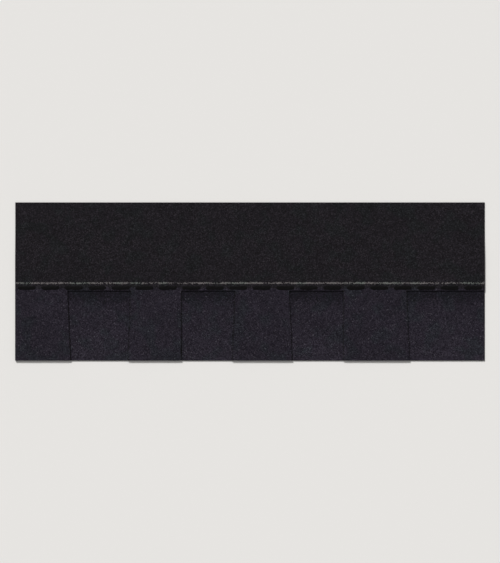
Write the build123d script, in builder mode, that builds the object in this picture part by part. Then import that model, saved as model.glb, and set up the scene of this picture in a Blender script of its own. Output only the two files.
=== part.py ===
from build123d import *

import os
from math import radians, tan

# A laminated asphalt roof shingle, one unit, lying granules up on a level floor.
#
# It is two sheets of granule-surfaced asphalt stuck together. The overlay is as high as
# the shingle and is die-cut into teeth along its lower half. The shim is a plain strip
# behind the teeth, which shows in the cut-outs between them. Stripes of asphalt adhesive
# join the two, a broken line of sealant on the face holds the next course down, and a
# thin film on the back keeps that sealant off the next shingle in the pack.
#
# +X runs along the length, +Y from the butt edge up the roof, +Z out of the weather
# face. The origin is the middle of the shingle, on the floor. Sizes are millimetres.

# Driving dimensions of the shingle
shingle_length = 1000.0
exposure = 143.0  # height that the next course up leaves showing
overlay_thickness = 2.4
shim_thickness = 2.4
common_bond = 22.0  # height of the shim above the cut-outs, where it is nailed

# Teeth, from the left end: widths are measured half way up the exposure, where the
# flared sides have their mean width. The last cut-out takes the length that is left.
tooth_1_width = 115.0
cutout_1_width = 128.0
tooth_2_width = 111.0
cutout_2_width = 111.0
tooth_3_width = 122.0
cutout_3_width = 112.0
tooth_4_width = 138.0
tooth_flare = 2.5  # degrees that a flared side leans out towards the butt edge
cutout_overrun = 6.0  # height of the cut-outs above the exposure line
cutout_corner_radius = 1.5
cutting_clearance = 5.0  # how far the last cut-out's outline runs past the end

# Stripes of laminating adhesive between the two sheets
adhesive_thickness = 0.3
adhesive_stripe_width = 12.0
adhesive_edge_margin = 8.0  # butt edge to the lowest stripe
adhesive_stripe_count = 4

# Broken line of sealant on the face, just above the cut-outs
sealant_thickness = 1.4
sealant_side_height = 0.7  # upright part of a dash's side, below its sloping crown
sealant_dash_width = 10.0
sealant_dash_length = 38.0
sealant_dash_gap = 12.0
sealant_end_margin = 5.0  # least distance from a dash to the shingle's end
sealant_gap_to_cutouts = 1.0
sealant_corner_radius = 3.0

# Release film on the back
film_thickness = 0.1
film_width = 19.0
film_gap_to_shim = 1.5

# The overlay is flexible: above the film it bends down, and its upper part lies on the
# floor
bend_margin = 3.5  # film to the start of the bend
bend_length = 90.0

# Heights that follow from the driving dimensions, from the butt edge up
cutout_height = exposure + cutout_overrun
shim_height = cutout_height + common_bond
sealant_y = cutout_height + sealant_gap_to_cutouts + sealant_dash_width / 2
film_y = shim_height + film_gap_to_shim + film_width / 2
bend_start = film_y + film_width / 2 + bend_margin
bend_end = bend_start + bend_length

# Every second shingle in a pack is turned round, which puts its sealant on this one's
# film, so the two places add up to the height: 337 mm
shingle_height = film_y + sealant_y

# Levels above the floor
overlay_back_z = shim_thickness + adhesive_thickness
overlay_face_z = overlay_back_z + overlay_thickness

# Planes with their origin at the left end of the butt edge
floor = Plane(origin=(-shingle_length / 2, -shingle_height / 2, 0))
left_end = Plane(origin=floor.origin, x_dir=(0, 1, 0), z_dir=(1, 0, 0))

# Each cut-out as the x of its two sides, half way up the exposure, and whether each side
# is flared
cutout_1_start = tooth_1_width
cutout_2_start = cutout_1_start + cutout_1_width + tooth_2_width
cutout_3_start = cutout_2_start + cutout_2_width + tooth_3_width
cutout_4_start = cutout_3_start + cutout_3_width + tooth_4_width
cutouts = [
    (cutout_1_start, True, cutout_1_start + cutout_1_width, True),
    (cutout_2_start, False, cutout_2_start + cutout_2_width, True),
    (cutout_3_start, True, cutout_3_start + cutout_3_width, False),
    (cutout_4_start, True, shingle_length + cutting_clearance, False),
]


def side_shift(y, flared):
    """How far a flared tooth side stands in from its mean place at height y."""
    return (y - exposure / 2) * tan(radians(tooth_flare)) if flared else 0.0


# Outline of the cut-outs, wider at the top where the teeth narrow
with BuildSketch() as cutout_outline:
    for left, left_flared, right, right_flared in cutouts:
        with BuildLine():
            Polyline(
                (left - side_shift(0, left_flared), 0),
                (right + side_shift(0, right_flared), 0),
                (right + side_shift(cutout_height, right_flared), cutout_height),
                (left - side_shift(cutout_height, left_flared), cutout_height),
                close=True,
            )
        make_face()
    upper_corners = cutout_outline.vertices().group_by(Axis.Y)[-1]
    fillet(upper_corners, cutout_corner_radius)

# Shim: the plain strip behind the teeth
with BuildPart() as shim_sheet:
    with BuildSketch(floor):
        Rectangle(shingle_length, shim_height, align=(Align.MIN, Align.MIN))
    extrude(amount=shim_thickness)

# Overlay: one bent section along the whole length, with the cut-outs stamped through it
with BuildPart() as overlay_sheet:
    with BuildSketch(left_end):
        with BuildLine():
            half_bend = ((bend_start + bend_end) / 2, overlay_back_z / 2)
            laminated = Line((0, overlay_back_z), (bend_start, overlay_back_z))
            bend_down = TangentArc(laminated @ 1, half_bend, tangent=laminated % 1)
            bend_flat = TangentArc(half_bend, (bend_end, 0), tangent=bend_down % 1)
            Line(bend_flat @ 1, (shingle_height, 0))
            offset(amount=overlay_thickness, side=Side.LEFT)
        make_face()
    extrude(amount=shingle_length)
    with BuildSketch(floor.offset(overlay_back_z)):
        add(cutout_outline.sketch)
    extrude(amount=overlay_thickness, mode=Mode.SUBTRACT)

# Laminating adhesive: even stripes under the teeth, the highest one centred where the
# two sheets overlap above the cut-outs
lowest_stripe_y = adhesive_edge_margin + adhesive_stripe_width / 2
highest_stripe_y = (cutout_height + shim_height) / 2
stripe_pitch = (highest_stripe_y - lowest_stripe_y) / (adhesive_stripe_count - 1)
with BuildPart() as laminating_adhesive:
    with BuildSketch(floor.offset(shim_thickness)):
        for stripe in range(adhesive_stripe_count):
            with Locations((shingle_length / 2, lowest_stripe_y + stripe * stripe_pitch)):
                Rectangle(shingle_length, adhesive_stripe_width)
        add(cutout_outline.sketch, mode=Mode.SUBTRACT)
    extrude(amount=adhesive_thickness)

# Sealant: as many dashes as the length holds, centred on it
sealant_pitch = sealant_dash_length + sealant_dash_gap
sealant_room = shingle_length - 2 * sealant_end_margin + sealant_dash_gap
sealant_dash_count = int(sealant_room // sealant_pitch)
with BuildPart() as sealant_dashes:
    with BuildSketch(floor.offset(overlay_face_z)):
        with Locations((shingle_length / 2, sealant_y)):
            with GridLocations(sealant_pitch, 0, sealant_dash_count, 1):
                RectangleRounded(
                    sealant_dash_length, sealant_dash_width, sealant_corner_radius
                )
    extrude(amount=sealant_thickness)
    crown_edges = sealant_dashes.faces().group_by(Axis.Z)[-1].edges()
    chamfer(crown_edges, sealant_thickness - sealant_side_height)

# Release film: a band on the overlay's back, beside the shim
with BuildPart() as release_film:
    with BuildSketch(floor.offset(overlay_back_z)):
        with Locations((shingle_length / 2, film_y)):
            Rectangle(shingle_length, film_width)
    extrude(amount=-film_thickness)

os.makedirs("parts", exist_ok=True)
pieces = {
    "overlay_sheet": overlay_sheet,
    "shim_sheet": shim_sheet,
    "laminating_adhesive": laminating_adhesive,
    "sealant_dashes": sealant_dashes,
    "release_film": release_film,
}
for name, piece in pieces.items():
    piece.part.label = name
    export_step(piece.part, f"parts/{name}.step")
    print(name, "volume", round(piece.part.volume), "mm3")
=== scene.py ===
# %% [markdown]
# # A laminated asphalt roof shingle
#
# The shingle is two sheets of asphalt-coated glass mat, stuck together and covered with
# crushed, coloured rock. The CAD model already has the two sheets at their real size, so
# this script adds what the eye sees: more than a hundred thousand granules, the sealant
# that lies on them, and the finish of each surface. It reads its places from the packed
# model, in metres, with +X along the length, +Y up the roof and +Z out of the face.

import math

import bpy
import numpy as np
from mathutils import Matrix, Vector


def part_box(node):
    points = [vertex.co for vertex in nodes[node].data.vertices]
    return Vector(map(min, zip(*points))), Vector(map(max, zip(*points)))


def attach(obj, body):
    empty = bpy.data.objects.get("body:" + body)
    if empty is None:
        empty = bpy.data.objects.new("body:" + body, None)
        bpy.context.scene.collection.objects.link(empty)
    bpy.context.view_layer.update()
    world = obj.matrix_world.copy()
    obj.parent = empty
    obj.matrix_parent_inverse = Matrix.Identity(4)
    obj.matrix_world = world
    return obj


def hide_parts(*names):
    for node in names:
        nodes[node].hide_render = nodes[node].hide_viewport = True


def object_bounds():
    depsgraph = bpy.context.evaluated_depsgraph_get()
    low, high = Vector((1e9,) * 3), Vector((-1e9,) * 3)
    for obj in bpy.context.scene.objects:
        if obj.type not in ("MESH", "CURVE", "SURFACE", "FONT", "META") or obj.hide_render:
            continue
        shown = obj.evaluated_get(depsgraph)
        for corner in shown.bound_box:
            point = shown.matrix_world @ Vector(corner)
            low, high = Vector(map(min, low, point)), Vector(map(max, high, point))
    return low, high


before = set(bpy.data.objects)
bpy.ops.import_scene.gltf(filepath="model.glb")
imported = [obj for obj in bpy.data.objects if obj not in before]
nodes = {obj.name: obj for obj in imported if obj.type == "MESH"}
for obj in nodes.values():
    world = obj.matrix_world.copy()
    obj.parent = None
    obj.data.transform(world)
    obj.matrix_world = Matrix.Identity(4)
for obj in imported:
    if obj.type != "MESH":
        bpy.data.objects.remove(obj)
cad_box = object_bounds()
mm = 0.001
rng = np.random.default_rng(11)  # every random choice comes from here, the same each run


def in_mm(box):
    """The two corners of a box in millimetres, for a printed line."""
    return [[round(v / mm, 1) for v in corner] for corner in box]


print("CAD model, mm:", in_mm(cad_box))

# %% [markdown]
# ## Small helpers
#
# Colours are written as sRGB hex values, the way a colour picker gives them, but shaders
# work in linear light, so one function turns one into the other. A second one adds a
# node to a material with its settings and links, which keeps each material short
# enough to read as a recipe. Where a node has several inputs of one name, they are given
# by number: a Mix node mixes numbers from inputs 2 and 3, and colours from 6 and 7 to
# output 2, always by the factor in input 0.

# %% Colour and node helpers
def linear(hex_colour):
    """Linear RGBA of an sRGB hex colour: a straight line near black, and else
    ((c + 0.055) / 1.055) to the power 2.4."""
    srgb = np.array([int(hex_colour[i:i + 2], 16) / 255 for i in (1, 3, 5)])
    rgb = np.where(srgb < 0.04045, srgb / 12.92, ((srgb + 0.055) / 1.055) ** 2.4)
    return (*rgb.tolist(), 1.0)


def add(tree, kind, sockets=None, **settings):
    """Adds one node. settings are its own options. sockets maps an input's name or
    number to a value, or to another node's output, which is then linked to it."""
    node = tree.nodes.new(kind)
    for name, value in settings.items():
        setattr(node, name, value)
    for name, value in (sockets or {}).items():
        if isinstance(value, bpy.types.NodeSocket):
            tree.links.new(value, node.inputs[name])
        else:
            node.inputs[name].default_value = value
    return node


def new_material(name):
    """An empty material, its node tree, and its Object coordinates."""
    material = bpy.data.materials.new(name)
    material.use_nodes = True
    material.node_tree.nodes.clear()
    place = add(material.node_tree, "ShaderNodeTexCoord").outputs["Object"]
    return material, material.node_tree, place


def finish_material(material, shader):
    """Links the last shader to a new output node."""
    tree = material.node_tree
    add(tree, "ShaderNodeOutputMaterial", {"Surface": shader.outputs[0]})
    print(material.name, "has", len(tree.nodes), "nodes")


# %% [markdown]
# ## Camera, light and floor
#
# The camera looks straight down on the granules, the side that shows once a shingle is
# laid. A long lens far away keeps its sides parallel, as an orthographic camera would,
# and still gives the other views some depth. One large lamp, up and to the left, throws
# the short shadows that make the cut edges readable, and the world fills them. The world
# has two levels: a white fill for whatever it lights, and the pale backdrop for what the
# camera and the reflections see of it, so that the background can be bright without
# more light on the shingle.

# %% Camera
lens = 100.0
sensor = 36.0
picture_height = 563  # pixels
shingle_on_picture = 470  # pixels from end to end
low, high = cad_box
field_height = (high.x - low.x) * picture_height / shingle_on_picture

camera = bpy.data.objects.new("camera", bpy.data.cameras.new("camera"))
camera.data.lens = lens
camera.data.sensor_width = sensor
camera.location = (0, 0, high.z + field_height * lens / sensor)
bpy.context.collection.objects.link(camera)
bpy.context.scene.camera = camera
bpy.context.scene.view_settings.view_transform = "Standard"
print("camera height, m:", round(camera.location.z, 2))

# %% Light
key_from = np.array([-0.36, 0.78, 0.76])  # where the lamp stands, seen from the shingle
key_softness = 16  # degrees across that the lamp looks
key_share = 0.68  # of the light that falls on a level surface
fill_share = 1 - key_share
backdrop_colour = "#E9E7E4"  # that of the lit floor, so that hardly a horizon shows

key = bpy.data.objects.new("key", bpy.data.lights.new("key", "SUN"))
key_direction = key_from / np.linalg.norm(key_from)
key.data.energy = key_share * math.pi / key_direction[2]
key.data.angle = math.radians(key_softness)
key.rotation_euler = (0, math.acos(key_direction[2]),
                      math.atan2(key_direction[1], key_direction[0]))
bpy.context.collection.objects.link(key)

world = bpy.data.worlds.new("studio")
bpy.context.scene.world = world
world.use_nodes = True
tree = world.node_tree
tree.nodes.clear()
rays = add(tree, "ShaderNodeLightPath")
seen = add(tree, "ShaderNodeMath", {0: rays.outputs["Is Camera Ray"],
           1: rays.outputs["Is Transmission Ray"]}, operation="MAXIMUM")
seen = add(tree, "ShaderNodeMath", {0: rays.outputs["Is Glossy Ray"],
           1: seen.outputs[0]}, operation="MAXIMUM")
level = add(tree, "ShaderNodeMapRange", {"Value": seen.outputs[0], "To Min": fill_share})
colour = add(tree, "ShaderNodeMix", {0: seen.outputs[0], 6: linear("#FFFFFF"),
             7: linear(backdrop_colour)}, data_type="RGBA")
studio = add(tree, "ShaderNodeBackground",
             {"Color": colour.outputs[2], "Strength": level.outputs["Result"]})
add(tree, "ShaderNodeOutputWorld", {"Surface": studio.outputs[0]})
print("key energy:", round(key.data.energy, 2), "fill:", round(fill_share, 2))

# %% Floor
floor_reach = 30.0  # metres to each side
floor_corners = [(-1, -1), (1, -1), (1, 1), (-1, 1)]
floor_mesh = bpy.data.meshes.new("floor")
floor_mesh.from_pydata([(x * floor_reach, y * floor_reach, low.z) for x, y in floor_corners],
                       [], [(0, 1, 2, 3)])
floor = bpy.data.objects.new("floor", floor_mesh)
bpy.context.collection.objects.link(floor)
matt_paint, tree, place = new_material("painted_studio_floor")
finish_material(matt_paint, add(tree, "ShaderNodeBsdfPrincipled", {
    "Base Color": linear("#E6E4E1"), "Roughness": 0.9, "Specular IOR Level": 0.1}))
floor_mesh.materials.append(matt_paint)

# %% [markdown]
# ## Where the teeth are
#
# The lower half of the upper sheet is cut into teeth, and granules lie on the teeth and,
# one sheet lower, in the cut-outs between them. Some sides lean, because those teeth
# widen towards the butt edge. The places of the sides could be written down here once
# more, but read from the corners of the CAD sheet along its butt edge they can't differ
# from it.

# %% Levels of the sheets
def node_box(name):
    """The lowest and the highest corner of a CAD node, as arrays."""
    return [np.array(corner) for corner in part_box(name)]


exposure = 143 * mm  # what the next course leaves showing
cutout_overrun = 6 * mm  # height of the cut-outs above that
bend_margin = 3.5 * mm  # release film to the start of the bend
bend_length = 90 * mm

overlay_low, overlay_high = node_box("overlay_sheet")
shim_low, shim_high = node_box("shim_sheet")
butt_y, top_y = overlay_low[1], overlay_high[1]
cutout_top_y = butt_y + exposure + cutout_overrun
bend_start = node_box("release_film")[1][1] + bend_margin
tooth_face_z, shim_face_z = overlay_high[2], shim_high[2]
headlap_face_z = shim_high[2] - shim_low[2]  # on the floor, and as thick as the shim


def face_level(y):
    """z of the upper sheet's face at height y. It is level over the lower sheet, then
    drops to the floor along two parabolas that meet half way: 2 t squared, and
    1 - 2 (1 - t) squared, with t from 0 to 1 along the bend."""
    t = np.clip((y - bend_start) / bend_length, 0, 1)
    sunk = np.where(t < 0.5, 2 * t**2, 1 - 2 * (1 - t) ** 2)
    return tooth_face_z - sunk * (tooth_face_z - headlap_face_z)


print("faces of tooth, shim and headlap, mm:",
      [round(z / mm, 2) for z in (tooth_face_z, shim_face_z, headlap_face_z)])

# %% Sides of the teeth
overlay_mesh = nodes["overlay_sheet"].data
on_the_edge = 0.01 * mm  # a corner nearer than this to the butt edge is on it
one_corner = 1 * mm  # corners nearer than this to each other are one
tooth_flare = math.tan(math.radians(2.5))  # slope of a leaning side
leans = np.array([0, -1, 1, 0, 1, -1, 0, -1, 0])  # way that each side leans, going up

corners = np.empty(len(overlay_mesh.vertices) * 3)
overlay_mesh.vertices.foreach_get("co", corners)
corners = corners.reshape(-1, 3)
corner_x = np.sort(corners[np.abs(corners[:, 1] - butt_y) < on_the_edge, 0])
sides_at_butt = corner_x[np.append(True, np.diff(corner_x) > one_corner)]
sides_at_butt = np.append(sides_at_butt, overlay_high[0])  # the last cut-out's open end
assert len(sides_at_butt) == len(leans)
print("sides on the butt edge, mm:", (sides_at_butt / mm).round(1).tolist())


def side_places(y):
    """x of every side at each height y: the place on the butt edge plus the lean times
    the height above it, and no lean above the cut-outs."""
    climb = np.minimum(y, cutout_top_y) - butt_y
    return sides_at_butt + np.multiply.outer(climb, leans * tooth_flare)


# %% [markdown]
# ## Granules
#
# Roofing granules are crushed rock, fired with a coloured ceramic coat and pressed into
# hot asphalt, so they have flat, sharp facets and touch each other. One object for each
# would be far too many. Instead a triangular lattice covers the sheet, and every third
# point of it is raised. Each raised point has six low ones round it, so it becomes a
# six-sided granule. The lattice is a surface of two parameters: the row up the sheet,
# and the column, which follows the leaning sides.
#
# A row falls on the butt edge, one on the top of the cut-outs and one on the top edge,
# and a column on each side of each tooth, so the strips between the sides can become
# pieces of their own later.

# %% Rows and columns of the lattice
granule_size = 1.85 * mm  # across a granule. Real ones are 0.5 to 2 mm
rim = 0.15 * mm  # bare asphalt that the die leaves along each cut
point_spacing = granule_size / math.sqrt(3)
row_spacing = point_spacing * math.sqrt(3) / 2


def steps_between(marks, spacing):
    """An even number of steps in each stretch between marks, nearest to the spacing."""
    return 2 * np.round(np.diff(marks) / spacing / 2).astype(int)


marks = [butt_y + rim, cutout_top_y + rim, top_y - rim]
exposed_rows, headlap_rows = steps_between(marks, row_spacing)
row_y = np.concatenate([
    np.linspace(marks[0], marks[1], exposed_rows, endpoint=False),
    np.linspace(marks[1], marks[2], headlap_rows + 1)])
steps = steps_between(side_places(butt_y + exposure / 2), point_spacing)
side_columns = np.append(0, np.cumsum(steps))
strip = np.repeat(np.arange(len(steps)), steps)  # the strip that a column belongs to
strip = np.append(strip, len(steps) - 1)
columns = np.arange(len(strip))
across = (columns - side_columns[strip]) / steps[strip]  # 0 to 1 from side to side
on_side = np.isin(columns, side_columns)
inward = np.array([1, -1, 1, -1, 1, -1, 1, -1, -1])  # along x, from each cut into its tooth
print("lattice:", len(row_y), "rows,", len(strip), "columns")

# %% [markdown]
# So regular a lattice would show, and the rest is left to chance. Some of the chance has
# to be slow, because neighbours move or change together. Blender's own noise functions
# are read point by point, while white noise whose quick waves are damped gives a smooth
# field for a whole array at once.

# %% Slow noise
def slow_noise(shape, reach):
    """A smooth random field with a spread of 1: white noise in which a wave of f turns
    a step is damped by exp(-(f times reach) squared)."""
    turns = np.hypot(np.fft.fftfreq(shape[0])[:, None], np.fft.rfftfreq(shape[1]))
    damped = np.fft.rfft2(rng.normal(size=shape)) * np.exp(-(turns * reach) ** 2)
    field = np.fft.irfft2(damped, s=shape)
    return field / field.std()


# %% [markdown]
# Granules come in all sizes and shapes, from slivers to lumps. Shifting the points makes
# them uneven, but each would still be a hexagon in its place. So many peaks step to one
# of the low points beside them, and where a peak was, a shoulder stays. That makes some
# granules long and others small, and the number of points stays the same.

# %% Peaks that step aside
stepping_share = 0.5  # of the peaks
joint, shoulder, peak = 0, 1, 2  # the ranks of points


def step_aside(raised, free):
    """Moves a share of the peaks to one of the six points beside them, picked by chance.
    Gives each point's rank, and the number of the point that it takes its colour from.
    Odd rows stand half a step to the right of even rows, so their neighbours above and
    below are one column on."""
    moving = np.flatnonzero(raised & free & (rng.random(raised.shape) < stepping_share))
    row, column = np.divmod(moving, raised.shape[1])
    way = rng.integers(6, size=len(moving))
    up = np.array([0, 0, 1, 1, -1, -1])[way]
    along = np.array([-1, 1, -1, 0, -1, 0])[way] + (up != 0) * (row % 2)
    target = np.ravel_multi_index((row + up, column + along), raised.shape, mode="clip")
    allowed = free.ravel()[target]
    target, first = np.unique(target[allowed], return_index=True)
    moving = moving[allowed][first]

    rank = np.where(raised.ravel(), peak, joint)
    rank[moving] = shoulder
    rank[target] = peak
    colour_from = np.arange(raised.size)
    colour_from[target] = moving
    return rank.reshape(raised.shape), colour_from


# %% [markdown]
# Now the points get their places. Those along the cuts and round the sheet aren't free
# to move, so that its outline stays straight. All others are swept along by a slow
# swirl, which breaks up the rows, and then shifted one by one. Where two strips meet,
# both use the same points, so that no gap opens between them. Heights follow from the
# rank: joints are low and peaks are high.

# %% The lattice
sweep = 0.3 * mm  # how far the swirl carries a point
sweep_reach = 16  # steps, about the size of a swirl
sweep_margin = 8  # steps from a side or an edge to where the swirl has its full strength
wander = 0.34  # greatest shift of a single point, in point spacings
wander_beside_edge = 0.1  # the same next to a point that isn't free
peak_heights = 0.25, 0.55, 0.95  # mm: the least, the most common and the greatest
shoulder_heights = 0.1, 0.5  # mm
joint_heights = 0.02, 0.16  # mm


def lattice(free):
    """Places (rows, columns, 3) of the lattice above the sheet, the rank of each point,
    and the point that each takes its colour from. A column's x is mixed from its strip's
    two sides, by how far across it is. A side stands back by the rim where its points
    aren't free. Even rows are shifted by a quarter step one way, odd rows the other way.
    Counting along the lattice's own slanted axes, every third point is raised. The sweep
    grows evenly from nothing at the sides and edges, and the shift of a single point is
    spread evenly over a circle, a small one beside a cut."""
    rows = np.arange(len(free))
    y = row_y[rows]
    part = across + np.where(rows % 2, 0.25, -0.25)[:, None] * free / steps[strip]
    sides = side_places(y) + rim * inward * ~free[:, side_columns]
    x = (1 - part) * sides[:, strip] + part * sides[:, strip + 1]
    raised = (columns - (rows // 2)[:, None] - rows[:, None]) % 3 == 0
    rank, colour_from = step_aside(raised, free)

    to_side = np.abs(columns - side_columns[:, None]).min(0)
    to_mark = np.abs(rows - np.array([[0], [exposed_rows], [len(row_y) - 1]])).min(0)
    swept = sweep * np.minimum(np.minimum.outer(to_mark, to_side) / sweep_margin, 1)
    beside_edge = ~(np.roll(free, 1, 1) & np.roll(free, -1, 1)
                    & np.roll(free, 1, 0) & np.roll(free, -1, 0))
    reach = np.where(beside_edge, wander_beside_edge, wander) * free * point_spacing
    reach = reach * np.sqrt(rng.random(x.shape))
    turn = rng.uniform(0, 2 * math.pi, x.shape)
    x = x + swept * slow_noise(x.shape, sweep_reach) + reach * np.cos(turn)
    y = y[:, None] + swept * slow_noise(x.shape, sweep_reach) + reach * np.sin(turn)

    peak_z = rng.triangular(*peak_heights, rank.shape) * mm
    shoulder_z = rng.uniform(*shoulder_heights, rank.shape) * mm
    joint_z = rng.uniform(*joint_heights, rank.shape) * mm
    z = np.choose(rank, [joint_z, shoulder_z, peak_z])
    return np.dstack([x, y, z]), rank, colour_from


# %% [markdown]
# Where the sheet was cut, the die cut through granules too and knocked some off, so the
# points along a cut edge are pulled back by a random bit more, and black asphalt shows
# beside them.

# %% Ragged cut edges
ragged_depth = 0.65 * mm


def ragged(shape):
    """Random distances by which the granules along a cut stand back from the rim: most
    of them little, and a few far, as a random number squared."""
    return ragged_depth * rng.random(shape) ** 2


# %% [markdown]
# Each sheet has a lattice of its own. The overlay's runs from edge to edge, also across
# the cut-outs, and the shim's has the rows up to the top of the cut-outs. What would
# lie in the air, or hidden between the sheets, never becomes a mesh.

# %% The overlay's granules
in_cutout_strip = (strip % 2 == 1) & ~on_side
free = np.ones((len(row_y), len(strip)), bool)
free[[0, -1]] = False
free[:, [0, -1]] = False
free[:exposed_rows + 1, on_side] = False
free[exposed_rows, in_cutout_strip] = False
overlay_points, overlay_rank, overlay_colour_from = lattice(free)

cut = ~free[:, on_side]
cut[exposed_rows, 1:-1] = False
overlay_points[:, on_side, 0] += inward * cut * ragged(cut.shape)
overlay_points[0, :, 1] += ragged(len(strip))
overlay_points[-1, :, 1] -= ragged(len(strip))
overlay_points[exposed_rows, in_cutout_strip, 1] += ragged(in_cutout_strip.sum())
overlay_points[..., 2] += face_level(overlay_points[..., 1])
print("overlay:", overlay_rank.size, "points,", np.sum(overlay_rank == peak), "peaks")

# %% The shim's granules
free = np.ones((exposed_rows + 1, len(strip)), bool)
free[[0, -1]] = False
free[:, on_side] = False
shim_points, shim_rank, shim_colour_from = lattice(free)
shim_points[0, :, 1] += ragged(len(strip))
shim_points[:, -1, 0] -= ragged(exposed_rows + 1)
shim_points[..., 2] += shim_face_z
print("shim:", shim_rank.size, "points,", np.sum(shim_rank == peak), "peaks")

# %% [markdown]
# ## The blend of colours
#
# A black roof isn't one black. The maker drops a blend of differently coloured granules,
# here a violet black, a blue black and a few much lighter ones, which is what makes the
# surface shimmer. The strip that shows in the cut-outs is a little lighter towards the
# butt edge, and has a band of darker granules just under the teeth's roots, a painted
# shadow that makes the roof look thicker. The part that the next course hides gets
# plainer, cheaper granules. A noise texture would run from colour to colour, but a real
# granule has one, so each draws its colour from the blend by chance.

# %% Blends
blends = {  # hex colour and share of each granule in a blend
    "tooth": {"#141118": 0.18, "#1C1920": 0.28, "#242128": 0.29, "#2D2A31": 0.212,
              "#39363C": 0.033, "#464448": 0.005},
    "cutout": {"#151219": 0.145, "#1E1B22": 0.275, "#28252C": 0.32, "#322F36": 0.22,
               "#3E3C42": 0.035, "#4C4B4F": 0.005},
    "shadow_band": {"#0E0D11": 0.33, "#151319": 0.36, "#1D1B22": 0.24, "#28262D": 0.07},
    "headlap": {"#100E10": 0.30, "#181619": 0.38, "#211F22": 0.24, "#2D2A2D": 0.08},
}
# Black of the bare asphalt on the layers' walls, and also the colour of the painted shade beside the
# cuts
asphalt_and_shade_black = "#0B0A0C"
patch_swing = 0.045  # spread of the slow changes in lightness
patch_reach = 50  # steps, so that a patch is a few centimetres across


def drop(blend, shape):
    """Linear RGBA of granules drawn at random from a blend, by their shares."""
    palette = np.array([linear(colour) for colour in blends[blend]])
    shares = np.array(list(blends[blend].values()))
    return palette[rng.choice(len(palette), shape, p=shares / shares.sum())]


def feathered(y, edge, width):
    """True above the edge and false below it, by chance within the width: the chance
    climbs evenly across it."""
    return (rng.random(y.shape) < np.clip((y - edge) / width + 0.5, 0, 1))[..., None]


def uneven(colours):
    """The colours, made lighter and darker in slow patches."""
    return colours * (1 + patch_swing * slow_noise(colours.shape[:2], patch_reach))[..., None]


def per_granule(colours, colour_from):
    """The colours, with those of peaks that stepped aside brought along."""
    return colours.reshape(-1, 4)[colour_from].reshape(colours.shape)


# %% Colours of the overlay's granules
headlap_edge_y = cutout_top_y + 5 * mm
headlap_feather = 4 * mm

y = overlay_points[..., 1]
overlay_colours = uneven(np.where(feathered(y, headlap_edge_y, headlap_feather),
                                  drop("headlap", y.shape), drop("tooth", y.shape)))
overlay_colours = per_granule(overlay_colours, overlay_colour_from)
print("mean of the overlay's colours:", overlay_colours.mean((0, 1)).round(4)[:3])

# %% [markdown]
# A thin painted line on the hidden part tells the roofer where the nails go. The paint
# only catches the granules that stand under the roller, so its edges are ragged and a
# few granules in it stay black. A strip of paint laid over the granules would hide them,
# so the granules themselves change colour.

# %% Nail line
nail_line_y = butt_y + 165 * mm
nail_line_width = 3.2 * mm
paint_share = 0.72  # chance that a granule under the roller takes the paint
paint_swing = 0.15  # spread of that chance along the line
paint_reach = 30  # steps

paint = paint_share + paint_swing * slow_noise(y.shape, paint_reach)
painted = (np.abs(y - nail_line_y) < nail_line_width / 2) & (rng.random(y.shape) < paint)
overlay_colours[painted] = linear("#676561")
print("painted points:", painted.sum())

# %% [markdown]
# In the cut-outs, the lighter blend gives way to the teeth's own over most of their
# height, and this to the dark band. Each change is drawn out by chance, granule by
# granule, as on the real sheet, where the drops of two blends overlap.

# %% Colours of the shim's granules
blend_edge_y = butt_y + 63 * mm
blend_feather = 100 * mm
band_edge_y = butt_y + exposure - 16 * mm
band_feather = 24 * mm

y = shim_points[..., 1]
shim_colours = np.where(feathered(y, blend_edge_y, blend_feather),
                        drop("tooth", y.shape), drop("cutout", y.shape))
shim_colours = np.where(feathered(y, band_edge_y, band_feather),
                        drop("shadow_band", y.shape), shim_colours)
shim_colours = per_granule(uneven(shim_colours), shim_colour_from)
print("mean of the shim's colours:", shim_colours.mean((0, 1)).round(4)[:3])

# %% [markdown]
# Granules beside a cut are turned black in places. This is painted shade, standing for the
# shade in the corner at each cut, and it draws a thin, broken black line down each side of a tooth.

# %% Painted shade along the cuts
# What is drawn here is painted shade: granules beside each cut turn black to stand for the shade in
# its corner
cut_shade_width = 2.2 * mm
cut_shade_share = 0.5  # chance of a smear right at the cut
cut_shade_swing = 0.45  # spread of that chance along the cut
cut_shade_reach = 3  # steps


def paint_cut_shade(points, colours):
    """Paints shade beside a cut: turns granules there black by chance, where the shade in
    the corner at the cut would fall. The chance is greatest at the cut and falls evenly to
    none at the shade's width, and it swells and fades along the cut."""
    sides = side_places(points[..., 1])[..., 1:-1]
    away = np.abs(points[..., :1] - sides).min(2)
    nearness = np.clip(1 - away / cut_shade_width, 0, 1)
    chance = (cut_shade_share + cut_shade_swing * slow_noise(away.shape, cut_shade_reach)) * nearness
    cut_shaded = (rng.random(away.shape) < chance) & (points[..., 1] < cutout_top_y)
    colours[cut_shaded] = linear(asphalt_and_shade_black)
    print("smeared points:", cut_shaded.sum())


paint_cut_shade(overlay_points, overlay_colours)
paint_cut_shade(shim_points, shim_colours)

# %% [markdown]
# The granules' coat is a fired ceramic: dull, a little rougher on some facets than on
# others, with a very weak gloss. Over a hand's width the blend drifts between violet and
# blue grey, because the drop is never quite even. The drift and the grit are noise
# textures in real sizes, and only a granule's own colour comes with its mesh.

# %% Material of the granules
drift_size = 45 * mm
grit_size = 1.5 * mm  # about a granule, so that facets differ in gloss
pit_size = 0.5 * mm  # of the pores in the coat, drawn as coarse as they need to show

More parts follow.
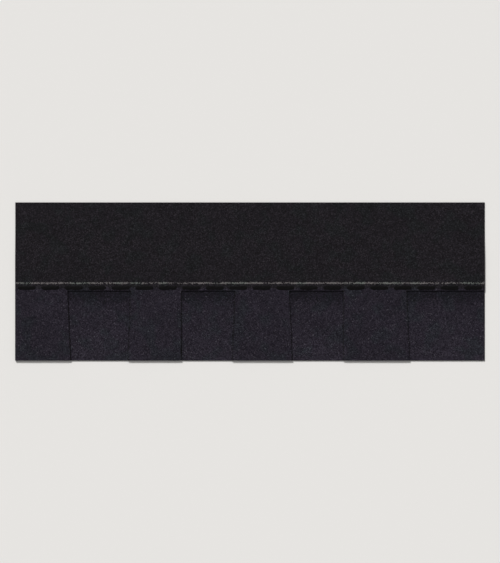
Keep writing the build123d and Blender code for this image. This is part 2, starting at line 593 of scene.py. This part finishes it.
granules, tree, place = new_material("ceramic_coated_rock_granules")
colour = add(tree, "ShaderNodeAttribute", attribute_name="granule_colour")
drift = add(tree, "ShaderNodeTexNoise",
            {"Vector": place, "Scale": 1 / drift_size, "Detail": 2.0, "Roughness": 0.6})
drift = add(tree, "ShaderNodeMapRange",
            {"Value": drift.outputs[0], "From Min": 0.38, "From Max": 0.5})
tint = add(tree, "ShaderNodeMix", {0: drift.outputs[0], 6: linear("#EDFBFA"),
           7: linear("#FBF6FF")}, data_type="RGBA")
tinted = add(tree, "ShaderNodeMix", {0: 1.0, 6: colour.outputs["Color"], 7: tint.outputs[2]},
             data_type="RGBA", blend_type="MULTIPLY")
grit = add(tree, "ShaderNodeTexNoise", {"Vector": place, "Scale": 1 / grit_size, "Detail": 0.0})
dull = add(tree, "ShaderNodeMapRange",
           {"Value": grit.outputs[0], "To Min": 0.45, "To Max": 0.95})
pits = add(tree, "ShaderNodeTexNoise", {"Vector": place, "Scale": 1 / pit_size, "Detail": 2.0})
pitted = add(tree, "ShaderNodeBump",
             {"Height": pits.outputs[0], "Strength": 0.6, "Distance": 0.2 * mm})
finish_material(granules, add(tree, "ShaderNodeBsdfPrincipled", {
    "Base Color": tinted.outputs[2], "Roughness": dull.outputs[0],
    "Specular IOR Level": 0.08, "Normal": pitted.outputs[0]}))

# %% [markdown]
# ## From lattice to solid layers
#
# Each strip of the lattice is made a closed mesh, with a wall down each side and a floor
# just inside the sheet, so that it is a real layer and not a skin. Four of the strips are
# teeth that run on up to the top edge, and four start above a cut-out. The Solidify
# modifier would close a skin too, but would double its hundreds of thousands of
# triangles, where a flat floor needs one panel for each row.

# %% Helpers for meshes
def lattice_triangles(rows, columns):
    """Triangles over a lattice whose points are numbered row by row. The diagonal of
    each square turns with the row, because every other row is shifted."""
    point = np.arange(rows * columns).reshape(rows, columns)
    a, b, c, d = point[:-1, :-1], point[:-1, 1:], point[1:, 1:], point[1:, :-1]
    odd = (np.arange(rows - 1) % 2 == 1)[:, None, None]
    first = np.where(odd, np.stack([a, c, d], 2), np.stack([a, b, d], 2))
    second = np.where(odd, np.stack([a, b, c], 2), np.stack([b, c, d], 2))
    return np.concatenate([first.reshape(-1, 3), second.reshape(-1, 3)])


def mesh_piece(name, points, faces, material):
    """A mesh piece from points and from arrays of faces. The faces in one array all have
    the same number of corners."""
    mesh = bpy.data.meshes.new(name)
    counts = np.concatenate([np.full(len(f), f.shape[1]) for f in faces])
    vertices = np.concatenate([f.ravel() for f in faces])
    mesh.vertices.add(len(points))
    mesh.vertices.foreach_set("co", points.astype(np.float32).ravel())
    mesh.loops.add(len(vertices))
    mesh.loops.foreach_set("vertex_index", vertices.astype(np.int32))
    mesh.polygons.add(len(counts))
    mesh.polygons.foreach_set("loop_start", (np.cumsum(counts) - counts).astype(np.int32))
    mesh.update(calc_edges=True)
    mesh.shade_flat()
    mesh.materials.append(material)
    piece = bpy.data.objects.new(name, mesh)
    bpy.context.collection.objects.link(piece)
    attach(piece, "root")
    return piece


# %% [markdown]
# The colours belong to faces, and an exported model can only carry them as a picture. So
# each layer gets a UV map on which they can be baked. It is the view from above, because
# nothing on top of a layer overhangs.

# %% Map for the bake
wall_band = 0.02  # height on the map that the walls and the floor share


def map_from_above(piece, points, top_corners):
    """A UV map seen from above: the top fills the picture, and the walls and the floor
    share a thin line below it, with a narrow gap between."""
    corner = np.empty(len(piece.data.loops), np.int32)
    piece.data.loops.foreach_get("vertex_index", corner)
    spread = (points - points.min(0)) / np.ptp(points, axis=0)
    uv = spread[corner, :2]
    uv[:top_corners, 1] = wall_band + (1 - wall_band) * uv[:top_corners, 1]
    uv[top_corners:, 1] *= 0.75 * wall_band
    layer = piece.data.uv_layers.new(name="OFBake")
    layer.uv.foreach_set("vector", uv.astype(np.float32).ravel())


# %% A closed layer of granules
layer_depth = 0.2 * mm  # how far a layer's floor lies inside the sheet


def granule_layer(name, points, rank, colours, floor_z):
    """A closed layer: the lattice on top, a panel for each row down both sides and
    underneath, and one many-sided panel at each end. Each triangle takes the colour of
    its corner of the highest rank, which is the granule that it belongs to."""
    rows, columns = rank.shape
    top = np.arange(rows * columns).reshape(rows, columns)
    left = rows * columns + np.arange(rows)
    right = left + rows
    under = points[:, [0, -1]].copy()
    under[..., 2] = floor_z[:, None]
    everything = np.concatenate([points.reshape(-1, 3), under[:, 0], under[:, 1]])

    triangles = lattice_triangles(rows, columns)
    panels = np.concatenate([
        np.stack([top[:-1, 0], top[1:, 0], left[1:], left[:-1]], 1),
        np.stack([top[:-1, -1], right[:-1], right[1:], top[1:, -1]], 1),
        np.stack([left[:-1], left[1:], right[1:], right[:-1]], 1)])
    front = np.concatenate([[left[0], right[0]], top[0, ::-1]])[None]
    back = np.concatenate([[right[-1], left[-1]], top[-1]])[None]
    piece = mesh_piece(name, everything, [triangles, panels, front, back], granules)

    highest = np.argmax(rank.ravel()[triangles], axis=1)
    owner = triangles[np.arange(len(triangles)), highest]
    wall_count = len(panels) + len(front) + len(back)
    walls = np.tile(linear(asphalt_and_shade_black), (wall_count, 1))
    face_colours = np.concatenate([colours.reshape(-1, 4)[owner], walls])
    layer = piece.data.attributes.new("granule_colour", "FLOAT_COLOR", "FACE")
    layer.data.foreach_set("color", face_colours.astype(np.float32).ravel())
    map_from_above(piece, everything, len(triangles) * 3)
    print(name, "has about", len(triangles) // 6, "granules, of six triangles each")
    return piece


def overlay_layer(name, first_row, strip_columns):
    """A layer of the overlay's granules, from a row of the lattice to the top edge."""
    here = np.s_[first_row:, strip_columns]
    return granule_layer(name, overlay_points[here],
                         overlay_rank[here], overlay_colours[here],
                         face_level(row_y[first_row:]) - layer_depth)


def shim_layer(name, strip_columns):
    """A layer of the shim's granules, as high as a cut-out."""
    here = np.s_[:, strip_columns]
    return granule_layer(name, shim_points[here], shim_rank[here],
                         shim_colours[here], np.full(exposed_rows + 1, shim_face_z - layer_depth))


# %% The layers
layers = []
for n, (start, end) in enumerate(zip(side_columns[:-1], side_columns[1:])):
    number = n // 2 + 1
    strip_columns = slice(start, end + 1)
    if n % 2 == 0:
        layers.append(overlay_layer(f"tooth_granules_{number}", 0, strip_columns))
    else:
        layers.append(shim_layer(f"cutout_granules_{number}", strip_columns))
        layers.append(overlay_layer(f"headlap_granules_{number}", exposed_rows, strip_columns))
print("layers:", len(layers), "faces:", sum(len(layer.data.polygons) for layer in layers))

# %% [markdown]
# ## Sealant
#
# The dashes of sealant are soft asphalt that was printed hot on the granules. Each is a
# slightly uneven pad, dull from the dust of the pack and thickest in the middle. A box
# with rounded edges would look moulded. Instead a pad is a profile carried along a path:
# a flat-bottomed dome, whose width and height shrink to nothing at both ends.

# %% Places of the pads
dash_length = 38 * mm
dash_pitch = 50 * mm
sealant_low, sealant_high = node_box("sealant_dashes")
dash_width = sealant_high[1] - sealant_low[1]
dash_height = sealant_high[2] - tooth_face_z
dash_y = (sealant_low[1] + sealant_high[1]) / 2
dash_x = np.arange(sealant_low[0] + dash_length / 2, sealant_high[0], dash_pitch)
print("pads:", len(dash_x))

# %% Sealant pads
rings, ring_points = 61, 21
end_angle = 0.02  # radians by which the first and last rings stop short of the tips
width_share, width_swing, width_reach = 0.86, 0.06, 14
height_share, height_swing, height_reach = 0.78, 0.10, 3


def sealant_pad(x):
    """Points (rings, ring points, 3) of one pad at x. Along it, width and height follow
    (1 - u to the 8th) to the power 1/3, with u from -1 to 1. Across it, the angle a runs
    from 0 to 180 degrees, y is cos a and z is sin a to the power 0.6. Slow noise makes
    the outline uneven, and quicker noise lets the granules underneath show through."""
    u = -np.cos(np.linspace(end_angle, math.pi - end_angle, rings))[:, None]
    a = np.linspace(0, math.pi, ring_points)[None]
    taper = (1 - np.abs(u) ** 8) ** (1 / 3)
    spread = width_share + width_swing * slow_noise((rings, ring_points), width_reach)
    swell = height_share + height_swing * slow_noise((rings, ring_points), height_reach)
    y = np.cos(a) * spread * taper * dash_width / 2
    z = np.sin(a) ** 0.6 * swell * taper * dash_height
    along = np.broadcast_to(x + u * dash_length / 2, y.shape)
    return np.dstack([along, y + dash_y, z + tooth_face_z])


pads = np.stack([sealant_pad(x) for x in dash_x])
point = np.arange(pads[..., 0].size).reshape(pads.shape[:3])
after = np.roll(point, -1, axis=2)
skin = np.stack([point[:, :-1], after[:, :-1], after[:, 1:], point[:, 1:]], 3)
ends = np.concatenate([point[:, 0, ::-1], point[:, -1]])
print("greatest height of the pads, mm:", ((pads[..., 2].max() - tooth_face_z) / mm).round(2))

# %% Material of the sealant
lump_size = 2 * mm  # about a granule, since those underneath show through

oxidised, tree, place = new_material("oxidised_asphalt_sealant")
lumps = add(tree, "ShaderNodeTexNoise", {"Vector": place, "Scale": 1 / lump_size, "Detail": 3.0})
bump = add(tree, "ShaderNodeBump",
           {"Height": lumps.outputs[0], "Strength": 0.4, "Distance": 0.2 * mm})
dull = add(tree, "ShaderNodeMapRange", {"Value": lumps.outputs[0], "From Min": 0.3,
           "From Max": 0.7, "To Min": 0.38, "To Max": 0.65})
finish_material(oxidised, add(tree, "ShaderNodeBsdfPrincipled", {
    "Base Color": linear("#0A090A"), "Roughness": dull.outputs[0],
    "Specular IOR Level": 0.04, "Normal": bump.outputs[0]}))

sealant = mesh_piece("sealant_pads", pads.reshape(-1, 3), [skin.reshape(-1, 4), ends], oxidised)
sealant.data.shade_smooth()
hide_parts("sealant_dashes")
print("faces of the pads:", len(sealant.data.polygons))

# %% [markdown]
# ## The sheets themselves
#
# Each sheet is a glass mat soaked and coated with asphalt, so its cut edges are black,
# with a few pale flecks where glass fibres end in the cut. Its back is dusted with fine
# sand, so that shingles don't stick together in the pack. Three materials on three
# groups of faces would do, but the CAD mesh stays as it is, so one material asks each
# face which way it looks: up, sideways or down.

# %% Asphalt, fibre ends and sand
clot_size = 1.2 * mm  # of the dull and shiny spots in the asphalt
fleck_spacing = 0.9 * mm  # fibres are far finer, so a fleck stands for a bundle of them
sand_grain = 0.6 * mm  # of the coarsest sand. Finer grains wouldn't show

sheet, tree, place = new_material("asphalt_coated_glass_mat")
clots = add(tree, "ShaderNodeTexNoise", {"Vector": place, "Scale": 1 / clot_size, "Detail": 4.0})
asphalt = add(tree, "ShaderNodeMix", {0: clots.outputs[0], 6: linear("#080708"),
              7: linear("#1A181A")}, data_type="RGBA")

flecks = add(tree, "ShaderNodeTexVoronoi", {"Vector": place, "Scale": 1 / fleck_spacing})
fleck_size = add(tree, "ShaderNodeMapRange", {"Value": flecks.outputs["Distance"],
                 "From Min": 0.12, "From Max": 0.2, "To Min": 1.0, "To Max": 0.0})
edge = add(tree, "ShaderNodeMix", {0: fleck_size.outputs[0], 6: asphalt.outputs[2],
           7: linear("#6A665C")}, data_type="RGBA")

grains = add(tree, "ShaderNodeTexVoronoi", {"Vector": place, "Scale": 1 / sand_grain})
sand_tone = add(tree, "ShaderNodeSeparateColor", {0: grains.outputs["Color"]})
sand_cover = add(tree, "ShaderNodeMapRange", {"Value": sand_tone.outputs[0],
                 "From Min": 0.15, "From Max": 0.25})
sand_colour = add(tree, "ShaderNodeMix", {0: sand_tone.outputs[1], 6: linear("#3E3B36"),
                  7: linear("#746F66")}, data_type="RGBA")
sanded = add(tree, "ShaderNodeMix", {0: sand_cover.outputs[0], 6: asphalt.outputs[2],
             7: sand_colour.outputs[2]}, data_type="RGBA")
round_grains = add(tree, "ShaderNodeMapRange", {"Value": grains.outputs["Distance"],
                   "From Max": 0.7, "To Min": 1.0, "To Max": 0.0})

# %% Which of them shows, and the finish
level_enough = 0.7  # z of the normal past which a face counts as the face or the back

facing = add(tree, "ShaderNodeSeparateXYZ",
             {0: add(tree, "ShaderNodeNewGeometry").outputs["Normal"]})
is_back = add(tree, "ShaderNodeMath", {0: facing.outputs["Z"], 1: -level_enough},
              operation="LESS_THAN")
is_face = add(tree, "ShaderNodeMath", {0: facing.outputs["Z"], 1: level_enough},
              operation="GREATER_THAN")
cut_or_back = add(tree, "ShaderNodeMix", {0: is_back.outputs[0], 6: edge.outputs[2],
                  7: sanded.outputs[2]}, data_type="RGBA")
shown = add(tree, "ShaderNodeMix", {0: is_face.outputs[0], 6: cut_or_back.outputs[2],
            7: asphalt.outputs[2]}, data_type="RGBA")
rough = add(tree, "ShaderNodeMapRange",
            {"Value": clots.outputs[0], "To Min": 0.5, "To Max": 0.95})
relief = add(tree, "ShaderNodeMix", {0: is_back.outputs[0], 2: clots.outputs[0],
             3: round_grains.outputs[0]})
bump = add(tree, "ShaderNodeBump",
           {"Height": relief.outputs[0], "Strength": 0.5, "Distance": 0.3 * mm})
finish_material(sheet, add(tree, "ShaderNodeBsdfPrincipled", {
    "Base Color": shown.outputs[2], "Roughness": rough.outputs[0],
    "Specular IOR Level": 0.15, "Normal": bump.outputs[0]}))

# %% [markdown]
# ## Adhesive and release film
#
# The adhesive between the sheets is soft asphalt, laid on hot in stripes and pressed
# flat, so it stays tacky and shinier than the sheets. The film on the back is clear
# polyester. It is pressed on while the asphalt is warm, so it lies in faint creases and
# gleams, and the black behind it shows through. The CAD solids have the shapes of both,
# so only a finish is added. Refraction, as in glass, would be slow and would hardly show
# on so thin a sheet, so the film is a gloss that is mostly see-through.

# %% Material of the laminating adhesive
ripple_size = 4 * mm  # of the waves that pressing leaves

tacky, tree, place = new_material("tacky_laminating_asphalt")
ripple = add(tree, "ShaderNodeTexNoise", {"Vector": place, "Scale": 1 / ripple_size, "Detail": 2.0})
gloss = add(tree, "ShaderNodeMapRange",
            {"Value": ripple.outputs[0], "To Min": 0.2, "To Max": 0.45})
finish_material(tacky, add(tree, "ShaderNodeBsdfPrincipled", {
    "Base Color": linear("#0A090A"), "Roughness": gloss.outputs[0]}))

# %% Material of the release film
crease_size = 6 * mm

film, tree, place = new_material("clear_polyester_film")
creases = add(tree, "ShaderNodeTexNoise", {"Vector": place, "Scale": 1 / crease_size, "Detail": 4.0})
bump = add(tree, "ShaderNodeBump",
           {"Height": creases.outputs[0], "Strength": 0.7, "Distance": 1.5 * mm})
finish_material(film, add(tree, "ShaderNodeBsdfPrincipled", {
    "Base Color": linear("#C9CDD0"), "Roughness": 0.12, "IOR": 1.57, "Alpha": 0.2,
    "Normal": bump.outputs[0]}))

# %% Dress the CAD nodes
dressed = {"overlay_sheet": sheet, "shim_sheet": sheet, "laminating_adhesive": tacky,
           "release_film": film}
for name, material in dressed.items():
    nodes[name].data.materials.clear()
    nodes[name].data.materials.append(material)
print("dressed:", ", ".join(dressed))
